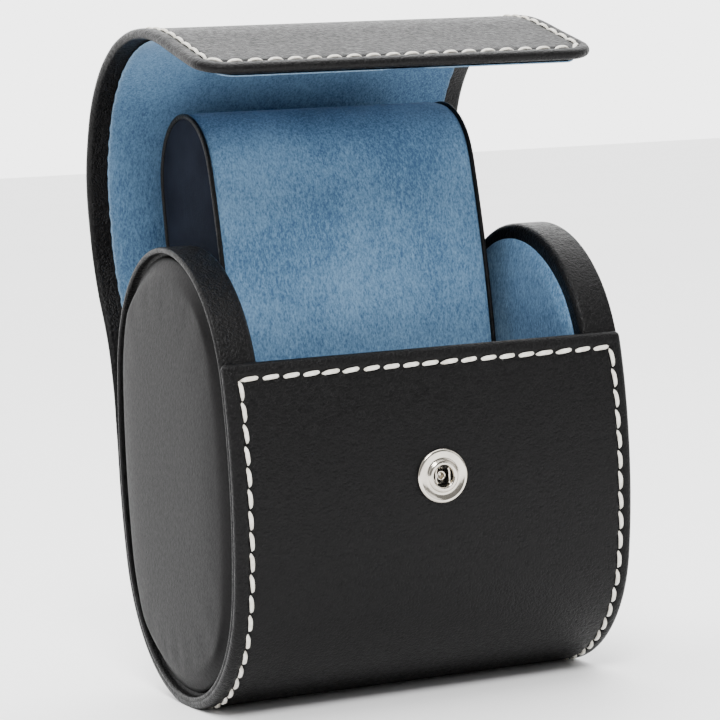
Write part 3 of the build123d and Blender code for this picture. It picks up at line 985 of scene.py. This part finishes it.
def build_stud(nickel):
    """Stud on the flap's inner face, with its round cap."""
    box_low, box_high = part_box("snap_stud")
    centre_box = (box_low + box_high) / 2 / MM
    s = PATH.nearest(centre_box.y, centre_box.z + 2.0)
    t = np.array([np.interp(s, PATH.s, PATH.tangent[:, k]) for k in (0, 1)])
    inwards = (0, -t[1], t[0])
    y, z = PATH.at(s, WRAP_THICK + 0.05)
    centre = (SNAP[0], float(y), float(z))
    base = rounded([
        (0.01, 0.28), (1.3, 0.28), (1.5, 0.3), (2.6, 0.22), (3.6, 0.12), (3.9, -0.1), (3.8, -0.3),
    ])
    head = rounded([
        (1.3, 0.0), (1.28, 0.5), (1.22, 0.62), (1.45, 0.85), (1.48, 1.1), (1.3, 1.32),
        (0.8, 1.45), (0.3, 1.42), (0.01, 1.4),
    ])
    return [lathe("stud_base", base[::-1], centre, inwards, nickel, 56),
            lathe("stud_head", head, centre, inwards, nickel, 48)]


# Materials


class Nodes:
    """Small helper that builds a node tree."""

    def __init__(self, name):
        self.material = bpy.data.materials.new(name)
        self.material.use_nodes = True
        self.tree = self.material.node_tree
        self.tree.nodes.clear()
        self.out = self.tree.nodes.new("ShaderNodeOutputMaterial")
        self.shader = self.tree.nodes.new("ShaderNodeBsdfPrincipled")
        self.link(self.shader.outputs[0], self.out.inputs["Surface"])
        self.coords = self.tree.nodes.new("ShaderNodeTexCoord").outputs["Object"]

    def link(self, a, b):
        self.tree.links.new(a, b)

    def add(self, kind, settings=None, **inputs):
        node = self.tree.nodes.new("ShaderNode" + kind)
        for key, value in (settings or {}).items():
            setattr(node, key, value)
        for key, value in inputs.items():
            numbered = key[0] == "i" and key[1:].isdigit()
            socket = node.inputs[int(key[1:]) if numbered else key.replace("_", " ")]
            if isinstance(value, bpy.types.NodeSocket):
                self.link(value, socket)
            else:
                socket.default_value = value
        return node

    def mapping(self, scale, rotation=(0, 0, 0)):
        return self.add("Mapping", Vector=self.coords, Scale=scale, Rotation=rotation).outputs[0]

    def noise(self, scale, detail=2.0, roughness=0.5, vector=None, distortion=0.0):
        return self.add("TexNoise", Vector=vector or self.coords, Scale=scale, Detail=detail,
                        Roughness=roughness, Distortion=distortion).outputs["Fac"]

    def voronoi(self, scale, feature="F1", vector=None):
        return self.add("TexVoronoi", {"feature": feature}, Vector=vector or self.coords,
                        Scale=scale).outputs["Distance"]

    def ramp(self, value, stops):
        node = self.add("ValToRGB", Fac=value)
        elements = node.color_ramp.elements
        while len(elements) < len(stops):
            elements.new(0.5)
        for element, (position, colour) in zip(elements, stops):
            element.position = position
            element.color = colour if len(colour) == 4 else (*colour, 1)
        return node.outputs["Color"]

    def math(self, operation, a, b=0.0):
        return self.add("Math", {"operation": operation}, i0=a, i1=b).outputs[0]

    def range(self, value, low, high, to_low, to_high):
        node = self.add("MapRange", Value=value, i1=low, i2=high, i3=to_low, i4=to_high)
        return node.outputs[0]

    def bump(self, height, distance, strength=1.0, normal=None):
        node = self.add("Bump", Height=height, Distance=distance, Strength=strength)
        if normal is not None:
            self.link(normal, node.inputs["Normal"])
        return node.outputs["Normal"]

    def set(self, **inputs):
        for key, value in inputs.items():
            socket = self.shader.inputs[key.replace("_", " ")]
            if isinstance(value, bpy.types.NodeSocket):
                self.link(value, socket)
            else:
                socket.default_value = value


def leather_material(name, dark, light, rough, cell=2300.0, grain=0.00013, gloss=0.3, soft=0.25,
                     vary=0.09):
    """Fine pebbled leather: uneven cells, pores, soft wrinkles and rubbed high spots."""
    n = Nodes(name)
    warp = n.noise(cell / 2, 2.0)
    cells = n.voronoi(cell, "SMOOTH_F1")
    creases = n.voronoi(cell * 0.8, "DISTANCE_TO_EDGE")
    pebble = n.math("MULTIPLY", cells, n.range(warp, 0.3, 0.7, 0.4, 1.3))
    valley = n.range(creases, 0.0, 0.14, 0.45, 0.0)
    fine = n.noise(4200.0, 3.0, 0.6)
    wrinkle = n.noise(170.0, 4.0, 0.6, distortion=0.5)
    height = n.math("ADD", n.math("MULTIPLY", pebble, -0.8), n.math("MULTIPLY", fine, 0.25))
    height = n.math("SUBTRACT", height, n.math("MULTIPLY", valley, warp))
    normal = n.bump(wrinkle, 0.00025, soft)
    normal = n.bump(height, grain, 1.0, normal)
    tone = n.math("ADD", n.math("MULTIPLY", n.noise(22.0, 1.0), 0.3),
                  n.range(cells, 0.1, 0.6, 0.6, 0.3))
    n.set(Base_Color=n.ramp(tone, [(0.4, dark), (0.8, light)]), Normal=normal,
          Roughness=n.range(warp, 0.3, 0.7, rough - vary, rough + vary))
    n.set(Specular_IOR_Level=gloss)
    return n.material


def velour_material(name, deep, bright, fuzz=(0.2, 0.29, 0.37)):
    """Brushed velour: fine diagonal nap, soft clouds and a pale frayed cut edge."""
    n = Nodes(name)
    nap = n.noise(1.0, 2.0, 0.6, vector=n.mapping((3600.0, 3600.0, 1700.0), (0.35, 0.75, 0.2)))
    strand = n.noise(1.0, 2.0, 0.5, vector=n.mapping((1900.0, 1900.0, 560.0), (0.3, 0.8, 0.0)))
    cloud = n.noise(48.0, 4.0, 0.6, distortion=0.3)
    speck = n.noise(5200.0, 2.0, 0.7)
    mix = n.math("ADD", n.math("MULTIPLY", nap, 0.36), n.math("MULTIPLY", strand, 0.2))
    mix = n.math("ADD", mix, n.math("MULTIPLY", cloud, 0.28))
    mix = n.math("ADD", mix, n.math("MULTIPLY", speck, 0.16))
    colour = n.ramp(mix, [(0.41, deep), (0.59, bright)])
    edge = n.add("Attribute", {"attribute_name": "edge"}).outputs["Fac"]
    ragged = n.math("MULTIPLY", edge, n.range(speck, 0.4, 0.62, 0.15, 1.0))
    fray = n.add("Mix", {"data_type": "RGBA"}, Factor=ragged)
    n.link(colour, fray.inputs[6])
    fray.inputs[7].default_value = (*fuzz, 1)
    height = n.math("ADD", n.math("MULTIPLY", nap, 0.7), n.math("MULTIPLY", strand, 0.4))
    n.set(Base_Color=fray.outputs[2], Normal=n.bump(height, 0.00013, 0.8))
    n.set(Roughness=0.95, Sheen_Weight=0.12, Sheen_Roughness=0.4, Sheen_Tint=(0.7, 0.82, 1.0, 1),
          Specular_IOR_Level=0.1)
    return n.material


def thread_material():
    n = Nodes("thread")
    fibre = n.noise(4200.0, 3.0, 0.6)
    colour = n.ramp(n.noise(900.0, 2.0), [(0.3, (0.62, 0.58, 0.49)), (0.7, (0.86, 0.84, 0.77))])
    n.set(Base_Color=colour,
          Normal=n.bump(fibre, 0.00012, 0.7))
    n.set(Roughness=0.7, Sheen_Weight=0.3)
    return n.material


def nickel_material():
    n = Nodes("nickel")
    brushed = n.noise(900.0, 3.0, 0.6)
    colour = n.ramp(n.noise(300.0, 2.0), [(0.3, (0.5, 0.46, 0.4)), (0.7, (0.62, 0.58, 0.51))])
    n.set(Base_Color=colour,
          Roughness=n.range(brushed, 0.3, 0.7, 0.1, 0.2), Normal=n.bump(brushed, 0.00002, 0.4))
    n.set(Metallic=1.0)
    return n.material


def suede_material():
    n = Nodes("suede")
    nap = n.noise(2400.0, 3.0, 0.7)
    colour = n.ramp(n.noise(160.0, 3.0), [(0.3, (0.005, 0.0065, 0.011)), (0.7, (0.009, 0.0115, 0.0185))])
    n.set(Base_Color=colour,
          Normal=n.bump(nap, 0.00012, 0.6))
    n.set(Roughness=0.9, Specular_IOR_Level=0.03)
    return n.material


def floor_material():
    n = Nodes("floor")
    colour = n.ramp(n.noise(3.0, 2.0), [(0.3, (0.95, 0.95, 0.95)), (0.7, (0.97, 0.97, 0.97))])
    n.set(Base_Color=colour)
    n.set(Roughness=0.6)
    return n.material


# Stage


def build_stage():
    size = 6.0
    mesh = bpy.data.meshes.new("floor")
    corners = [(-size, -size, 0), (size, -size, 0), (size, size, 0), (-size, size, 0)]
    mesh.from_pydata(corners, [], [(0, 1, 2, 3)])
    mesh.materials.append(floor_material())
    floor = bpy.data.objects.new("floor", mesh)
    bpy.context.scene.collection.objects.link(floor)


def add_light(name, location, target, size, energy, colour=(1, 1, 1)):
    data = bpy.data.lights.new(name, "AREA")
    data.shape = "RECTANGLE"
    data.size, data.size_y = size
    data.energy = energy
    data.color = colour
    light = bpy.data.objects.new(name, data)
    bpy.context.scene.collection.objects.link(light)
    light.location = location
    aim = Vector(target) - Vector(location)
    light.rotation_euler = aim.to_track_quat("-Z", "Y").to_euler()


def build_lights():
    """White wall behind, dimmer room in front, soft top light and a key from the left."""
    middle = (0, 0, 0.06)
    add_light("key", (-0.3, -0.72, 0.95), middle, (0.4, 0.4), 19.0)
    add_light("fill", (0.9, -0.8, 0.5), middle, (0.6, 0.6), 2.5)
    sun = bpy.data.lights.new("top", "SUN")
    sun.energy = 3.0
    sun.angle = math.radians(70)
    light = bpy.data.objects.new("top", sun)
    light.rotation_euler = (math.radians(-12), 0, 0)
    bpy.context.scene.collection.objects.link(light)
    world = bpy.data.worlds.new("studio")
    world.use_nodes = True
    tree = world.node_tree
    direction = tree.nodes.new("ShaderNodeTexCoord")
    split = tree.nodes.new("ShaderNodeSeparateXYZ")
    level = tree.nodes.new("ShaderNodeMapRange")
    level.interpolation_type = "SMOOTHSTEP"
    for key, value in zip(range(1, 5), (-0.5, 0.8, 0.3, 4.2)):
        level.inputs[key].default_value = value
    tree.links.new(direction.outputs["Generated"], split.inputs[0])
    tree.links.new(split.outputs["Y"], level.inputs[0])
    tree.links.new(level.outputs[0], tree.nodes["Background"].inputs["Strength"])
    tree.nodes["Background"].inputs["Color"].default_value = (1.0, 1.0, 1.0, 1)
    bpy.context.scene.world = world


def build_camera():
    """Camera at the photograph's place, worked out from the drum's outline and the panel."""
    place = Vector((-0.21879, -0.49074, 0.10533))
    forward = Vector((0.4045, 0.9107, -0.0839)).normalized()
    up = Vector((0.0797, 0.0563, 0.9952))
    right = forward.cross(up).normalized()
    up = right.cross(forward)
    data = bpy.data.cameras.new("camera")
    data.lens = 145.3
    data.sensor_width = 36.0
    data.clip_start = 0.01
    camera = bpy.data.objects.new("camera", data)
    rotation = Matrix((right, up, -forward)).transposed().to_4x4()
    camera.matrix_world = Matrix.Translation(place) @ rotation
    bpy.context.scene.collection.objects.link(camera)
    bpy.context.scene.camera = camera


def main():
    leather = leather_material("leather", (0.0012, 0.0011, 0.0012), (0.0042, 0.0039, 0.0041), 0.42,
                               gloss=0.12)
    smooth = leather_material("pad_leather", (0.0025, 0.0024, 0.0025), (0.0055, 0.0052, 0.0053),
                              0.55, cell=2600.0, grain=0.00003, gloss=0.08, soft=0.05, vary=0.04)
    velour = velour_material("velour", (0.038, 0.09, 0.17), (0.14, 0.25, 0.38))
    # The lining's velour is the cushion's velour darkened by about a quarter, edge fuzz included: painted
    # shade for the lid's shadow over the lining.
    lining_velour_painted_shade = velour_material("lining_velour_painted_shade", (0.028, 0.066, 0.13), (0.1, 0.185, 0.29),
                                    fuzz=(0.15, 0.22, 0.29))
    thread, nickel, suede = thread_material(), nickel_material(), suede_material()

    wrap = build_wrap(leather)
    lining = build_lining(lining_velour_painted_shade)
    stitches = build_stitches(thread)
    fold_pieces(wrap, "wrap_")
    fold_pieces(lining, "lining_")
    fold_pieces(stitches, "stitches_")
    parts = {"case": "body", "fold_low": "hinge_lower", "fold_middle": "hinge_upper",
             "lid": "lid", "flap": "flap"}
    for part, node in parts.items():
        boards = [] if part.startswith("fold") else [f"{node}_board"]
        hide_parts(f"{node}_leather", *boards)
        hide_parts(f"{node}_lining")
        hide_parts(f"{node}_stitching")

    for side, label in ((-1, "left"), (1, "right")):
        cheek = build_cheek(side, label, leather)
        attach(cheek, "case")
        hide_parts(f"{label}_cheek_core", f"{label}_cheek_band", f"{label}_cheek_filler",
                    f"{label}_end_board")
        pad = oval_pad(f"{label}_end_cushion", side, -2.85, 37.15, 38.4, 39.35, smooth, 1.1)
        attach(pad, "case")
        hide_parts(f"{label}_end_pad")
        pad = oval_pad(f"{label}_inner_cushion", side, -3.9, 31.85, 31.0, 30.7, velour, 0.9)
        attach(pad, "case")
        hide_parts(f"{label}_inner_pad")

    cushion, left_end, left_welt, right_end, right_welt = build_cushion(velour, suede, leather)
    for piece, slot in ((cushion, "velour"), (left_end, "suede"), (left_welt, "leather"),
                        (right_end, "suede"), (right_welt, "leather")):
        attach(piece, "cushion")
    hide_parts("cushion_core", "cushion_wrap")
    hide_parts("left_cushion_side")
    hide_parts("right_cushion_side")

    ring, post, flare, cup = build_socket(nickel, leather)
    spring = build_spring(nickel)
    for piece in (ring, post, flare, spring):
        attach(piece, "case")
    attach(cup, "case")
    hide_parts("snap_socket_ring")
    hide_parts("snap_socket_eyelet")
    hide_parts("snap_socket_spring")
    base, head = build_stud(nickel)
    for piece in (base, head):
        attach(piece, "lid_flap")
    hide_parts("snap_stud_base")
    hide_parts("snap_stud")

    build_stage()
    build_lights()
    build_camera()


main()
